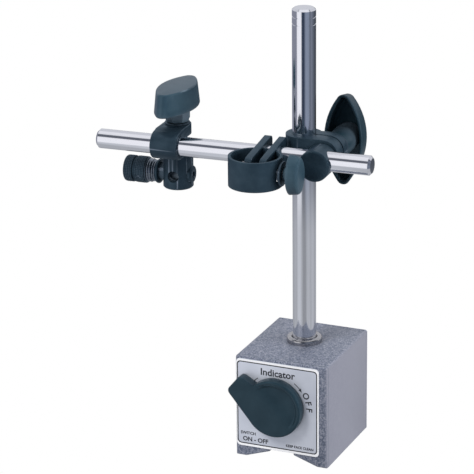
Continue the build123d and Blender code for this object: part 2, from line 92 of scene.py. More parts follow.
# ------------------------------------------------------------------ node helpers
class Maker:
    """Builds one material's node tree with few words."""

    def __init__(self, name):
        self.material = bpy.data.materials.new(name)
        self.material.use_nodes = True
        self.tree = self.material.node_tree
        self.shader = self.tree.nodes["Principled BSDF"]
        self.coords = self.tree.nodes.new("ShaderNodeTexCoord").outputs["Object"]

    def set(self, **values):
        for key, value in values.items():
            self.shader.inputs[key.replace("_", " ")].default_value = value

    def link(self, source, target):
        self.tree.links.new(source, target)

    def node(self, kind, inputs=None, **settings):
        made = self.tree.nodes.new(kind)
        for key, value in settings.items():
            setattr(made, key, value)
        for key, value in (inputs or {}).items():
            if isinstance(value, bpy.types.NodeSocket):
                self.link(value, made.inputs[key])
            else:
                made.inputs[key].default_value = value
        return made

    def stretched(self, scale):
        """Object coordinates scaled by (x, y, z)."""
        return self.node("ShaderNodeMapping", {"Vector": self.coords, "Scale": scale}).outputs[0]

    def noise(self, scale, detail=3.0, rough=0.55, coords=None):
        inputs = {"Vector": coords or self.coords, "Scale": scale, "Detail": detail, "Roughness": rough}
        return self.node("ShaderNodeTexNoise", inputs).outputs["Fac"]

    def cells(self, scale):
        inputs = {"Vector": self.coords, "Scale": scale}
        return self.node("ShaderNodeTexVoronoi", inputs, feature="SMOOTH_F1").outputs["Distance"]

    def ramp(self, fac, stops):
        made = self.node("ShaderNodeValToRGB", {"Fac": fac})
        ramp = made.color_ramp
        while len(ramp.elements) < len(stops):
            ramp.elements.new(0.5)
        for element, (place, colour) in zip(ramp.elements, stops):
            element.position = place
            element.color = colour if len(colour) == 4 else (*colour, 1)
        return made.outputs["Color"]

    def between(self, fac, low, high):
        """fac from 0..1 mapped to low..high."""
        inputs = {"Value": fac, "To Min": low, "To Max": high}
        return self.node("ShaderNodeMapRange", inputs).outputs["Result"]

    def math(self, operation, a, b):
        return self.node("ShaderNodeMath", {0: a, 1: b}, operation=operation).outputs[0]

    def mix(self, fac, a, b):
        made = self.node("ShaderNodeMix", data_type="RGBA")
        for socket, value in (
            (made.inputs["Factor"], fac),
            (made.inputs[6], a),
            (made.inputs[7], b),
        ):
            if isinstance(value, bpy.types.NodeSocket):
                self.link(value, socket)
            else:
                socket.default_value = value
        return made.outputs[2]

    def bump(self, height, strength, distance):
        inputs = {"Height": height, "Strength": strength, "Distance": distance}
        return self.node("ShaderNodeBump", inputs).outputs["Normal"]

    def edge_wear_and_highlight(self, colour, worn_and_lit, amount):
        """Mixes a lighter colour in along convex edges: partly rubbed bare, partly painted highlight."""
        point = self.node("ShaderNodeNewGeometry").outputs["Pointiness"]
        fac = self.node(
            "ShaderNodeMapRange",
            {"Value": point, "From Min": 0.53, "From Max": 0.61, "To Min": 0.0, "To Max": amount},
        ).outputs["Result"]
        return self.mix(fac, colour, worn_and_lit)


# ------------------------------------------------------------------ materials
def hammertone():
    """Grey-violet hammered paint of the base, smoother on its upright sides, which are also painted a
    lighter even tone as painted light.
    """
    m = Maker("hammertone_paint")
    fine = m.noise(1500, 1.0, 0.4)
    broad = m.noise(420, 2.0)
    normal = m.node("ShaderNodeTexCoord").outputs["Normal"]
    facing = m.node("ShaderNodeSeparateXYZ", {0: normal}).outputs["X"]
    smooth_lit_sides = m.math("MULTIPLY", m.math("ABSOLUTE", facing, 0.0), 0.88)
    blend = m.math("ADD", m.math("MULTIPLY", fine, 0.75), m.math("MULTIPLY", broad, 0.25))
    dark, middle, light = (0.095, 0.118, 0.168), (0.180, 0.200, 0.262), (0.31, 0.325, 0.385)
    mottled = m.ramp(blend, [(0.38, dark), (0.5, middle), (0.62, light)])
    # painted light: faces turned left and right are mixed towards a lighter even tone, as if lit from the
    # side
    colour = m.mix(smooth_lit_sides, mottled, (0.235, 0.238, 0.285, 1))
    m.link(colour, m.shader.inputs["Base Color"])
    m.link(m.between(fine, 0.30, 0.50), m.shader.inputs["Roughness"])
    relief = m.math("MULTIPLY", m.math("ADD", m.cells(820), fine), m.math("SUBTRACT", 1.0, smooth_lit_sides))
    m.link(m.bump(relief, 0.30, 0.0005), m.shader.inputs["Normal"])
    m.set(Metallic=0.2)
    return m.material


def silver_plate():
    """Brushed silver of the name plate."""
    m = Maker("brushed_silver")
    lines = m.noise(1.0, 4.0, 0.6, m.stretched((900, 900, 9000)))
    cloud = m.noise(45, 2.0)
    colour = m.ramp(cloud, [(0.3, (0.60, 0.63, 0.71)), (0.7, (0.76, 0.79, 0.86))])
    m.link(colour, m.shader.inputs["Base Color"])
    m.link(m.between(lines, 0.38, 0.5), m.shader.inputs["Roughness"])
    m.link(m.bump(lines, 0.06, 0.0002), m.shader.inputs["Normal"])
    m.set(Metallic=0.45)
    return m.material


def white_print():
    m = Maker("white_print")
    cloud = m.noise(300, 2.0)
    colour = m.ramp(cloud, [(0.3, (0.92, 0.92, 0.93)), (0.7, (0.97, 0.97, 0.98))])
    m.link(colour, m.shader.inputs["Base Color"])
    m.link(m.between(cloud, 0.35, 0.45), m.shader.inputs["Roughness"])
    return m.material


def black_print():
    m = Maker("black_print")
    cloud = m.noise(500, 2.0)
    colour = m.ramp(cloud, [(0.3, (0.012, 0.014, 0.02)), (0.7, (0.025, 0.027, 0.035))])
    m.link(colour, m.shader.inputs["Base Color"])
    m.link(m.between(cloud, 0.4, 0.5), m.shader.inputs["Roughness"])
    return m.material


def chrome(name, scale, tint=(0.86, 0.87, 0.9)):
    """Polished chrome, a little uneven along its length."""
    m = Maker(name)
    lines = m.noise(1.0, 3.0, 0.6, m.stretched(scale))
    dark = tuple(c * 0.94 for c in tint)
    m.link(m.ramp(lines, [(0.3, dark), (0.7, tint)]), m.shader.inputs["Base Color"])
    m.link(m.between(lines, 0.07, 0.13), m.shader.inputs["Roughness"])
    m.set(Metallic=1.0)
    return m.material


def black_metal(name="black_metal", rough=(0.30, 0.46), wear_and_sheen=0.6, light=1.0):
    """Satin blackened steel with a teal cast and lighter edges, partly rubbed bare and partly painted
    highlight.
    """
    m = Maker(name)
    grain = m.noise(1500, 3.0)
    cloud = m.noise(120, 3.0)
    low, high = ((c * light for c in tone) for tone in ((0.012, 0.026, 0.040), (0.026, 0.046, 0.064)))
    colour = m.ramp(cloud, [(0.3, tuple(low)), (0.7, tuple(high))])
    # painted highlight with rubbing: convex edges are mixed towards a light blue-grey
    worn_and_lit = m.edge_wear_and_highlight(colour, (0.26, 0.31, 0.38, 1), wear_and_sheen) if wear_and_sheen else colour
    m.link(worn_and_lit, m.shader.inputs["Base Color"])
    m.link(m.between(grain, *rough), m.shader.inputs["Roughness"])
    m.link(m.bump(grain, 0.08, 0.0003), m.shader.inputs["Normal"])
    m.set(Metallic=0.35, Specular_Tint=(0.62, 0.85, 1.0, 1))
    return m.material


def black_plastic(name, low, high, rough=(0.30, 0.42), wear_and_sheen=0.35):
    """Moulded plastic with a fine grain and lighter edges of painted highlight."""
    m = Maker(name)
    grain = m.noise(1800, 2.0)
    cloud = m.noise(90, 3.0)
    colour = m.ramp(cloud, [(0.3, low), (0.7, high)])
    # painted highlight: convex edges are mixed towards a light blue-grey
    worn_and_lit = m.edge_wear_and_highlight(colour, (0.22, 0.27, 0.33, 1), wear_and_sheen) if wear_and_sheen else colour
    m.link(worn_and_lit, m.shader.inputs["Base Color"])
    m.link(m.between(grain, *rough), m.shader.inputs["Roughness"])
    m.link(m.bump(grain, 0.10, 0.0003), m.shader.inputs["Normal"])
    m.set(IOR=1.52, Specular_Tint=(0.60, 0.85, 1.0, 1))
    return m.material


def plain_metal(name, low, high, rough=(0.2, 0.34), metallic=0.9):
    """Turned steel, nickel or brass."""
    m = Maker(name)
    grain = m.noise(1200, 3.0)
    m.link(m.ramp(grain, [(0.3, low), (0.7, high)]), m.shader.inputs["Base Color"])
    m.link(m.between(grain, *rough), m.shader.inputs["Roughness"])
    m.link(m.bump(grain, 0.05, 0.0002), m.shader.inputs["Normal"])
    m.set(Metallic=metallic)
    return m.material


DEEP_BLACK = ((0.006, 0.018, 0.027), (0.013, 0.030, 0.042))
SOFT_BLACK = ((0.022, 0.046, 0.066), (0.034, 0.064, 0.086))

MATERIALS = {
    "base_paint": hammertone(),
    "plate": silver_plate(),
    "chrome": chrome("chrome_post", (1500, 1500, 60)),
    "chrome_arm": chrome("chrome_arm", (60, 1500, 1500)),
    "nickel": plain_metal("nickel", (0.42, 0.42, 0.43), (0.55, 0.54, 0.54), (0.12, 0.20), 1.0),
    "dark_nickel": plain_metal("dark_nickel", (0.16, 0.19, 0.22), (0.26, 0.29, 0.33), (0.16, 0.26), 1.0),
    "seam_shade": black_plastic("seam_shade", (0.02, 0.022, 0.03), (0.03, 0.033, 0.043), (0.7, 0.8)),
    "black_metal": black_metal(),
    "satin_metal": black_metal("satin_metal", (0.42, 0.55), 0.0, 1.15),
    "black_plastic": black_plastic("black_plastic", *DEEP_BLACK),
    "lever_plastic": black_plastic("lever_plastic", *DEEP_BLACK, wear_and_sheen=0.0),
    "knob_plastic": black_plastic("knob_plastic", *SOFT_BLACK, rough=(0.30, 0.40)),
    "steel": plain_metal("steel", (0.30, 0.31, 0.33), (0.44, 0.45, 0.47)),
    "magnet": plain_metal("magnet", (0.06, 0.06, 0.065), (0.10, 0.10, 0.105), (0.5, 0.65), 0.6),
    "white_print": white_print(),
    "black_print": black_print(),
}

SLOT_OF = {
    "base_paint": ("pole_left", "pole_right", "separator", "front_cover", "rear_cover"),
    "plate": ("name_plate",),
    "nickel": ("column_collar", "draw_spring_ring", "draw_thrust_ring"),
    "chrome": ("column",),
    "chrome_arm": ("arm_rod",),
    "black_metal": (
        "column_clamp", "swivel_bolt", "swivel_washer", "clamp_washer", "clamp_spacer",
        "arm_clip", "clip_bolt", "clip_washer", "stem_holder", "draw_bolt", "draw_washer",
        "knurled_nut", "cheek_left", "cheek_right", "ring_band", "ring_washer", "ring_sleeve",
    ),
    "black_plastic": ("clamp_knob", "ring_knob"),
    "lever_plastic": ("lever_knob",),
    "knob_plastic": ("clip_knob",),
    "steel": ("rotor_shaft", "rear_cover_screws", "ring_screw", "cheek_spacer"),
    "magnet": ("rotor_magnet", "rotor_pole_shoes"),
}
for slot, names in SLOT_OF.items():
    for name in names:
        nodes[name].data.materials.clear()
        nodes[name].data.materials.append(MATERIALS[slot])


# ------------------------------------------------------------------ mesh helpers
def publish(mesh, name, material, body, replaced=(), sharp=38):
    """Makes a piece of a finished mesh and hangs it on its body."""
    mesh.materials.clear()
    mesh.materials.append(MATERIALS[material])
    mesh.shade_smooth()
    mesh.set_sharp_from_angle(angle=math.radians(sharp))
    piece = bpy.data.objects.new(name, mesh)
    bpy.context.scene.collection.objects.link(piece)
    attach(piece, body)
    if replaced:
        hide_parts(*replaced)
    return piece


def soften(node, name, width, body, material, segments=3, angle=40, choose=None):
    """A copy of a CAD node with rounded edges stands for it; width in mm."""
    bm = bmesh.new()
    bm.from_mesh(nodes[node].data)
    bmesh.ops.remove_doubles(bm, verts=bm.verts, dist=2e-6)
    bmesh.ops.dissolve_limit(bm, angle_limit=math.radians(0.6), verts=bm.verts, edges=bm.edges)
    limit = math.radians(angle)
    edges = [
        e for e in bm.edges
        if len(e.link_faces) == 2 and e.calc_face_angle(0) > limit and (choose is None or choose(e))
    ]
    bmesh.ops.bevel(
        bm, geom=edges, offset=width * MM, segments=segments, profile=0.5,
        affect="EDGES", clamp_overlap=True,
    )
    bmesh.ops.recalc_face_normals(bm, faces=bm.faces)
    return publish(finish_mesh(bm, name), name, material, body, (node,))


def loft(rings, place):
    """Mesh of rings of (x, y, z) points in mm; a ring of one point closes an end."""
    bm = bmesh.new()
    made = [[bm.verts.new(place @ Vector(p)) for p in ring] for ring in rings]
    for first, second in zip(made, made[1:]):
        count = max(len(first), len(second))
        for i in range(count):
            j = (i + 1) % count
            near = [first[i % len(first)], first[j % len(first)]]
            far = [second[j % len(second)], second[i % len(second)]]
            bm.faces.new(list(dict.fromkeys(near + far)))
    bmesh.ops.recalc_face_normals(bm, faces=bm.faces)
    return bm


def finish_mesh(bm, name):
    mesh = bpy.data.meshes.new(name)
    bm.to_mesh(mesh)
    bm.free()
    return mesh


def circle(radius, z, count=64):
    if radius < 1e-6:
        return [(0, 0, z)]
    return [
        (radius * math.cos(2 * math.pi * i / count), radius * math.sin(2 * math.pi * i / count), z)
        for i in range(count)
    ]


def lathe(profile, place, count=64):
    """Turned shape: profile is (radius, z) pairs, closed on the axis or onto itself."""
    return loft([circle(r, z, count) for r, z in profile], place)


def arc(cx, cy, radius, start, end, count=6):
    """Points of an arc, angles in degrees."""
    steps = [math.radians(start + (end - start) * i / count) for i in range(count + 1)]
    return [(cx + radius * math.cos(t), cy + radius * math.sin(t)) for t in steps]


def almond(length, width, tip, inset, z, side_count=20, tip_count=10):
    """Wing outline, long along y, shrunk by inset."""
    h, s = length / 2, width / 2
    big = (h * h + s * s) / (2 * s)
    reach = math.sqrt((big - tip) ** 2 - (big - s) ** 2)
    slope = math.asin(reach / (big - tip))
    side_r, tip_r = big - inset, max(tip - inset, 0.15)
    points = []
    for sign in (1, -1):
        for i in range(side_count):
            t = -slope + 2 * slope * i / side_count
            points.append((sign * (side_r * math.cos(t) - (big - s)), sign * side_r * math.sin(t), z))
        for i in range(tip_count):
            t = slope + (math.pi - 2 * slope) * i / tip_count
            points.append((sign * tip_r * math.cos(t), sign * (reach + tip_r * math.sin(t)), z))
    return points


def wing(mouth, crown, height, wall, tip, crown_round, place, hub, bore_r, facets=0):
    """Hollow wing knob: rounded rim and crown, and a hub that reaches back below the mouth."""
    def ring(z, inset):
        part = z / height
        length = mouth[0] + (crown[0] - mouth[0]) * part
        width = mouth[1] + (crown[1] - mouth[1]) * part
        return almond(length, width, tip, inset, z)

    rings = [[(0, 0, height - wall)], ring(height - wall, wall + 1.4)]
    rings += [ring(height - wall - 1.2, wall + 0.2), ring(height * 0.4, wall), ring(0.5, wall)]
    lip = wall / 2
    rings += [ring(lip * (1 - math.sin(t)), lip + lip * math.cos(t)) for t in
              (math.radians(a) for a in (15, 45, 75, 90, 105, 135, 165))]
    rings += [ring(height * k, 0) for k in (0.3, 0.55)]
    for a in (0, 15, 30, 45, 60, 75, 90):
        t = math.radians(a)
        rings.append(ring(height - crown_round * (1 - math.sin(t)), crown_round * (1 - math.cos(t))))
    rings.append([(0, 0, height)])
    shell = loft(rings, place)
    hub_r, foot_r, drop = hub
    profile = [(bore_r, height - wall)]
    profile += [(bore_r, -drop)]
    profile += arc(foot_r - 0.5, -drop + 0.5, 0.5, -90, 0, 4)
    profile += [(hub_r, -drop * 0.6), (hub_r, height - wall)]
    turned = lathe(profile + profile[:1], place, facets or 48)
    return shell, turned


def joined(parts, name):
    """One mesh of several bmeshes."""
    bm = bmesh.new()
    for part in parts:
        temp = bpy.data.meshes.new("temp")
        part.to_mesh(temp)
        part.free()
        bm.from_mesh(temp)
        bpy.data.meshes.remove(temp)
    return finish_mesh(bm, name)


# ------------------------------------------------------------------ magnetic base
def at_face(e):
    """Edges of a pole, leaving out the seam to its neighbour and the rotor's bore."""
    a, b = (v.co / MM for v in e.verts)
    on_seam = abs(a.x) < 1.6 and abs(b.x) < 1.6
    across = abs(a.x - b.x) > 1
    beside_bore = abs(a.z - ROTOR_Z) < BORE_REACH and abs(b.z - ROTOR_Z) < BORE_REACH
    return not on_seam and not (across and beside_bore)


for pole in ("pole_left", "pole_right"):
    soften(pole, f"{pole}_body", 0.45, "base", "base_paint", 2, choose=at_face)
for cover in ("front_cover", "rear_cover"):
    soften(cover, f"{cover}_skin", 0.35, "base", "base_paint", 2, angle=25)
soften("name_plate", "name_plate_sheet", 0.18, "base", "plate", 2)
soften("rear_cover_screws", "rear_screws", 0.2, "base", "steel", 2)


def seam(name, y):
    """Near-black strip of painted shade in the seam where a cover meets the poles, up both sides and over
    the top.
    """
    def path(inset, radius):
        low, high = inset - BASE_W / 2, BASE_W / 2 - inset
        top = BASE_H - inset
        line = [(low, 0.3)] + arc(low + radius, top - radius, radius, 180, 90, 6)
        return line + arc(high - radius, top - radius, radius, 90, 0, 6) + [(high, 0.3)]

    outer, inner = path(0.02, 1.2), path(1.2, 0.6)
    half = SEAM_W / 2
    bm = bmesh.new()
    place = Matrix.Scale(MM, 4)
    rows = []
    for (ox, oz), (ix, iz) in zip(outer, inner):
        corners = ((ox, y - half, oz), (ox, y + half, oz), (ix, y + half, iz), (ix, y - half, iz))
        rows.append([bm.verts.new(place @ Vector(c)) for c in corners])
    for first, second in zip(rows, rows[1:]):
        for i in range(4):
            j = (i + 1) % 4
            bm.faces.new((first[i], first[j], second[j], second[i]))
    bm.faces.new(rows[0])
    bm.faces.new(rows[-1])
    bmesh.ops.recalc_face_normals(bm, faces=bm.faces)
    # painted shade: the near-black strip stands for the shade in the seam groove
    publish(finish_mesh(bm, name), name, "seam_shade", "base")


collar_profile = [(COLUMN_R + 0.1, 1.2), (COLUMN_R + 0.1, 0.0), (9.2, 0.0)]
collar_profile += arc(7.75, 1.5, 1.45, -20, 90, 8) + arc(7.55, 1.8, 1.15, 90, 165, 5)
collar_profile += [(COLUMN_R + 0.1, 1.2)]
collar = lathe(collar_profile, plane(Vector((0, COLUMN_Y, BASE_H)) * MM, X_AXIS, Y_AXIS), 96)
publish(finish_mesh(collar, "collar_ring"), "collar_ring", "nickel", "base", ("column_collar",))


# ------------------------------------------------------------------ polished column and arm
GROOVE = 0.3
GROOVE_FLOOR = 0.28
COLUMN_GROOVES = (COLUMN_TOP - 8.1, COLUMN_TOP - 4.4)


def rod_profile(radius, start, end, cut, grooves=()):
    """Turned rod along z with a chamfered far end, and a chamfered near end if it starts below 0."""
    profile = [(0, start)]
    profile += [(radius - cut, start), (radius, start + cut)] if start < 0 else [(radius, start)]
    for middle in grooves:
        profile += [(radius, middle - GROOVE), (radius - GROOVE, middle - GROOVE_FLOOR)]
        profile += [(radius - GROOVE, middle + GROOVE_FLOOR), (radius, middle + GROOVE)]
    return profile + [(radius, end - cut), (radius - cut, end), (0, end)]


upright = plane(Vector((0, COLUMN_Y, 0)) * MM, X_AXIS, Y_AXIS)
post = lathe(rod_profile(COLUMN_R, BASE_H + RUN, COLUMN_TOP, 1.0, COLUMN_GROOVES), upright, 160)
publish(finish_mesh(post, "column_post"), "column_post", "chrome", "column", ("column",))
along_arm = plane(spot(0, ARM_V, ARM_Z), V, W)
bar = lathe(rod_profile(ARM_R, ARM_FROM, ARM_TO, 1.2), along_arm, 160)
publish(finish_mesh(bar, "arm_bar"), "arm_bar", "chrome_arm", "arm", ("arm_rod",))


# ------------------------------------------------------------------ plate printing
PRINT_LIFT = 0.02
ARROW_R = 16.9
LETTER_R = 17.9
LETTER_SIZE = 4.6


def on_plate(points, lift, thickness=0.02):
    """Local plate (x, z) points in mm to the printed layer just in front of the plate."""
    return [Vector((x, PLATE_FACE - lift - thickness, z)) * MM for x, z in points]


def strip(name, outer, inner, lift, material):
    """Closed printed band between two outlines with as many points."""
    bm = bmesh.new()
    a = [bm.verts.new(p) for p in on_plate(outer, lift)]
    b = [bm.verts.new(p) for p in on_plate(inner, lift)]
    c = [bm.verts.new(p) for p in on_plate(outer, 0, 0)]
    d = [bm.verts.new(p) for p in on_plate(inner, 0, 0)]
    n = len(a)
    for i in range(n):
        j = (i + 1) % n
        for one, two in ((a, b), (c, a), (b, d), (d, c)):
            bm.faces.new((one[i], one[j], two[j], two[i]))
    bmesh.ops.recalc_face_normals(bm, faces=bm.faces)
    return publish(finish_mesh(bm, name), name, material, "base")


def rounded_box(left, right, bottom, top, radius):
    """Outline points of a rounded rectangle."""
    points = []
    for cx, cy, start in (
        (right - radius, top - radius, 0),
        (left + radius, top - radius, 90),
        (left + radius, bottom + radius, 180),
        (right - radius, bottom + radius, 270),
    ):
        points += arc(cx, cy, radius, start, start + 90, 6)
    return points


seam("front_seam_shade", FRONT_SEAM_Y)
LINE = (-23.6, 19.7, 7.5, 52.4)


def inset_box(by, radius):
    left, right, bottom, top = LINE
    return rounded_box(left + by, right - by, bottom + by, top - by, radius)


MARGIN = rounded_box(-24.15, 20.75, 6.05, 53.75, 1.9)
strip("plate_margin", MARGIN, inset_box(-0.1, 1.9), 0.0, "white_print")
strip("plate_line", inset_box(-0.28, 2.0), inset_box(0.28, 1.6), 0.015, "black_print")


def solid_outline(name, points):
    """Thin printed shape with one convex or simple outline."""
    bm = bmesh.new()
    front = [bm.verts.new(p) for p in on_plate(points, PRINT_LIFT)]
    back = [bm.verts.new(p) for p in on_plate(points, 0, 0)]
    bm.faces.new(front)
    bm.faces.new(list(reversed(back)))
    for i in range(len(points)):
        j = (i + 1) % len(points)
        bm.faces.new((front[i], back[i], back[j], front[j]))
    bmesh.ops.recalc_face_normals(bm, faces=bm.faces)
    publish(finish_mesh(bm, name), name, "black_print", "base")


def arrow(name, start, end):
    """Curved arrow about the rotor, angles in degrees, head at the end."""
    turn = 1 if end > start else -1
    radius = ARROW_R
    neck = end - turn * 6.0
    outer = arc(ROTOR_X, ROTOR_Z, radius + 0.2, start, neck, 8)
    inner = arc(ROTOR_X, ROTOR_Z, radius - 0.2, neck, start, 8)
    head = [
        arc(ROTOR_X, ROTOR_Z, radius + 0.95, neck - turn * 1.0, neck, 1)[0],
        arc(ROTOR_X, ROTOR_Z, radius - 0.05, end, end + 1, 1)[0],
        arc(ROTOR_X, ROTOR_Z, radius - 0.85, neck - turn * 1.0, neck, 1)[0],
    ]
    solid_outline(name, outer + head + inner)


arrow("arrow_on", 126, 146)
arrow("arrow_off", 54, 34)


def lettering(name, text, x, z, size, turn, bold):
    """Printed letters centred at a place on the plate, turned about it, in mm and degrees."""
    curve = bpy.data.curves.new(name, "FONT")
    curve.body = text
    curve.size = size
    curve.align_x = "CENTER"
    curve.align_y = "CENTER"
    curve.offset = bold
    curve.extrude = 0.03
    curve.resolution_u = 4
    temp = bpy.data.objects.new("temp_text", curve)
    bpy.context.scene.collection.objects.link(temp)
    bpy.context.view_layer.update()
    mesh = bpy.data.meshes.new_from_object(temp.evaluated_get(bpy.context.evaluated_depsgraph_get()))
    bpy.data.objects.remove(temp)
    bpy.data.curves.remove(curve)
    place = plane(Vector((x, PLATE_FACE - 0.01, z)) * MM, X_AXIS, W)
    mesh.transform(place @ Matrix.Rotation(math.radians(turn), 4, "Z"))
    mesh.name = name
    return publish(mesh, name, "black_print", "base")


def around(name, text, angle):
    """One letter on the circle about the rotor, its top outwards."""
    t = math.radians(angle)
    x, z = ROTOR_X + LETTER_R * math.cos(t), ROTOR_Z + LETTER_R * math.sin(t)
    lettering(name, text, x, z, LETTER_SIZE, angle - 90, 0.09)


for index, (letter, angle) in enumerate((("O", 25.5), ("F", 12.8), ("F", 1.2))):
    around(f"letter_off_{index}", letter, angle)
for index, (letter, angle) in enumerate((("O", 178.0), ("N", 165.0))):
    around(f"letter_on_{index}", letter, angle)
lettering("word_top", "Indicator", -1.6, 48.2, 5.2, 0.0, 0.10)
lettering("word_low_left", "SWITCH", -17.9, 13.2, 2.2, 0.0, 0.06)
lettering("word_low_left_2", "ON - OFF", -13.9, 9.9, 3.3, 0.0, 0.09)
lettering("word_low_right", "KEEP FACE CLEAN", 10.4, 9.6, 1.85, 0.0, 0.06)

# ------------------------------------------------------------------ lever
LEVER = [(-17.7, 15.9), (-5.0, 8.5), (0.0, 0.0), (-11.8, -9.7), (-25.2, 6.8)]
TIP_ROUND = 2.5
DISC_R = 15.3
DISH_R = 12.8
DISH_EDGE = 2.5
DISH_DEPTH = 1.6
KNOB_BACK = 30.0
KNOB_T = 5.6


def rounded_corner(before, corner, after, radius):
    """Arc points that round one corner of an outline."""
    p, q, r = (Vector(v) for v in (before, corner, after))
    one, two = (p - q).normalized(), (r - q).normalized()
    half = one.angle(two) / 2
    centre = q + (one + two).normalized() * radius / math.sin(half)
    start = q + one * radius / math.tan(half) - centre
    end = q + two * radius / math.tan(half) - centre
    first, last = math.atan2(start.y, start.x), math.atan2(end.y, end.x)
    sweep = (last - first + math.pi) % (2 * math.pi) - math.pi
    angles = [first + sweep * i / 8 for i in range(9)]
    return [tuple(centre + radius * Vector((math.cos(t), math.sin(t)))) for t in angles]


def smooth(value):
    value = min(1.0, max(0.0, value))
    return value * value * (3 - 2 * value)


def lever_reach(angle, outline):
    """Distance from the rotor's axis to the knob's edge in one direction."""
    reach = DISC_R
    dx, dz = math.cos(angle), math.sin(angle)
    for (ax, az), (bx, bz) in zip(outline, outline[1:] + outline[:1]):
        ex, ez = bx - ax, bz - az
        cross = dx * ez - dz * ex
        if abs(cross) > 1e-9:
            along = (ax * ez - az * ex) / cross
            part = (ax * dz - az * dx) / cross
            if along > 0 and -1e-6 <= part <= 1 + 1e-6:
                reach = max(reach, along)
    return reach


def lever_height(x, z):
    """Front surface of the knob above its back: a flat bar beside a scooped dish."""
    across = (x + z) / math.sqrt(2) - DISH_EDGE
    radius = math.hypot(x, z)
    scoop = smooth((across + 3.5) / 9.0) * smooth((DISH_R + 0.3 - radius) / 1.0)
    tilt = 0.7 * smooth((-across - 4.0) / 14.0)
    groove = 0.5 * smooth(1 - abs(radius - DISH_R - 0.5) / 0.6) * smooth((across + 1.0) / 3.0)
    return KNOB_T - DISH_DEPTH * scoop - tilt - groove


def build_lever():
    outline = rounded_corner(LEVER[4], LEVER[0], LEVER[1], TIP_ROUND) + LEVER[1:4]
    outline += rounded_corner(LEVER[3], LEVER[4], LEVER[0], TIP_ROUND)
    count = 360
    angles = [2 * math.pi * i / count for i in range(count)]
    reach = [lever_reach(t, outline) for t in angles]
    edge = 0.9
    rings = [[(0, 0, lever_height(0, 0))]]
    for k in range(1, 49):
        share = k / 48
        ring = []
        for t, r in zip(angles, reach):
            d = (r - edge) * share
            x, z = d * math.cos(t), d * math.sin(t)
            ring.append((x, z, lever_height(x, z)))
        rings.append(ring)
    for a in (15, 30, 45, 60, 75, 90):
        turn = math.radians(a)
        ring = []
        for t, r in zip(angles, reach):
            d = r - edge * (1 - math.sin(turn))
            top = lever_height((r - edge) * math.cos(t), (r - edge) * math.sin(t))
            ring.append((d * math.cos(t), d * math.sin(t), top - edge * (1 - math.cos(turn))))
        rings.append(ring)
    for depth in (2.4, 0.3):
        rings.append([(r * math.cos(t), r * math.sin(t), depth) for t, r in zip(angles, reach)])
    rings.append([((r - 0.3) * math.cos(t), (r - 0.3) * math.sin(t), 0.0) for t, r in zip(angles, reach)])
    rings.append([(0, 0, 0)])
    place = plane(Vector((ROTOR_X, -KNOB_BACK, ROTOR_Z)) * MM, X_AXIS, W)
    mesh = finish_mesh(loft(rings, place), "lever_handle")
    publish(mesh, "lever_handle", "lever_plastic", "lever", ("lever_knob",), 50)


build_lever()

# ------------------------------------------------------------------ column clamp and swivel
soften("column_clamp", "column_clamp_strap", 0.55, "column_clamp", "black_metal")
soften("swivel_bolt", "swivel_head", 0.35, "swivel", "black_metal")
for node in ("swivel_washer", "clamp_washer", "clamp_spacer"):
    soften(node, f"{node}_turned", 0.3, "swivel", "black_metal", 2)

shell, hub = wing(
    mouth=(52.0, 20.5), crown=(47.0, 19.8), height=11.2, wall=1.5, tip=3.6, crown_round=2.6,
    place=plane(spot(BOLT_U, 22.5, BOLT_Z), -U, W), hub=(7.0, 6.2, 10.8), bore_r=BOLT_R + RUN,
)
publish(joined([shell, hub], "clamp_wing"), "clamp_wing", "black_plastic", "clamp_knob", ("clamp_knob",))

# ------------------------------------------------------------------ clip and its knob
soften("arm_clip", "arm_clip_strap", 0.5, "clip", "black_metal")
soften("clip_washer", "clip_washer_turned", 0.2, "clip", "black_metal", 2)
CLIP_TURN = math.radians(-1.0)
turned_x = U * math.cos(CLIP_TURN) + V * math.sin(CLIP_TURN)
turned_y = V * math.cos(CLIP_TURN) - U * math.sin(CLIP_TURN)
shell, hub = wing(
    mouth=(48.0, 19.8), crown=(44.0, 17.5), height=11.8, wall=1.5, tip=3.6, crown_round=0.9,
    place=plane(spot(CLIP_U, CLIP_V, 174.3), turned_x, turned_y), hub=(7.0, 6.0, 7.0),
    bore_r=BOLT_R + RUN, facets=8,
)
publish(joined([shell, hub], "clip_wing"), "clip_wing", "knob_plastic", "clip_knob", ("clip_knob",))

# ------------------------------------------------------------------ stem holder and knurled nut
soften("stem_holder", "stem_holder_block", 0.4, "holder", "black_metal")
soften("draw_bolt", "draw_bolt_turned", 0.3, "holder", "black_metal", 2)
soften("draw_washer", "draw_washer_turned", 0.3, "holder", "black_metal", 2)


def ridged(start, length, radius, ridges, name, node):
    """Turned ring with narrow rounded ridges, from start along the draw bolt to the nut."""
    step = length / ridges
    profile = [(BOLT_R + 0.02, 0)]
    for i in range(ridges):
        profile += [
            (radius - 0.5 * (1 - math.sin(math.pi * k / 6)), step * (i + k / 6)) for k in range(7)
        ]
    profile += [(BOLT_R + 0.02, length), (BOLT_R + 0.02, 0)]
    turned = lathe(profile, plane(spot(CLIP_U + start, CLIP_V, DRAW_Z), W, V), 72)
    publish(finish_mesh(turned, name), name, "dark_nickel", "holder", (node,))


ridged(-10.9, 2.4, 5.7, 2, "draw_spring_turns", "draw_spring_ring")
ridged(-13.3, 2.6, 6.1, 2, "draw_thrust_rings", "draw_thrust_ring")


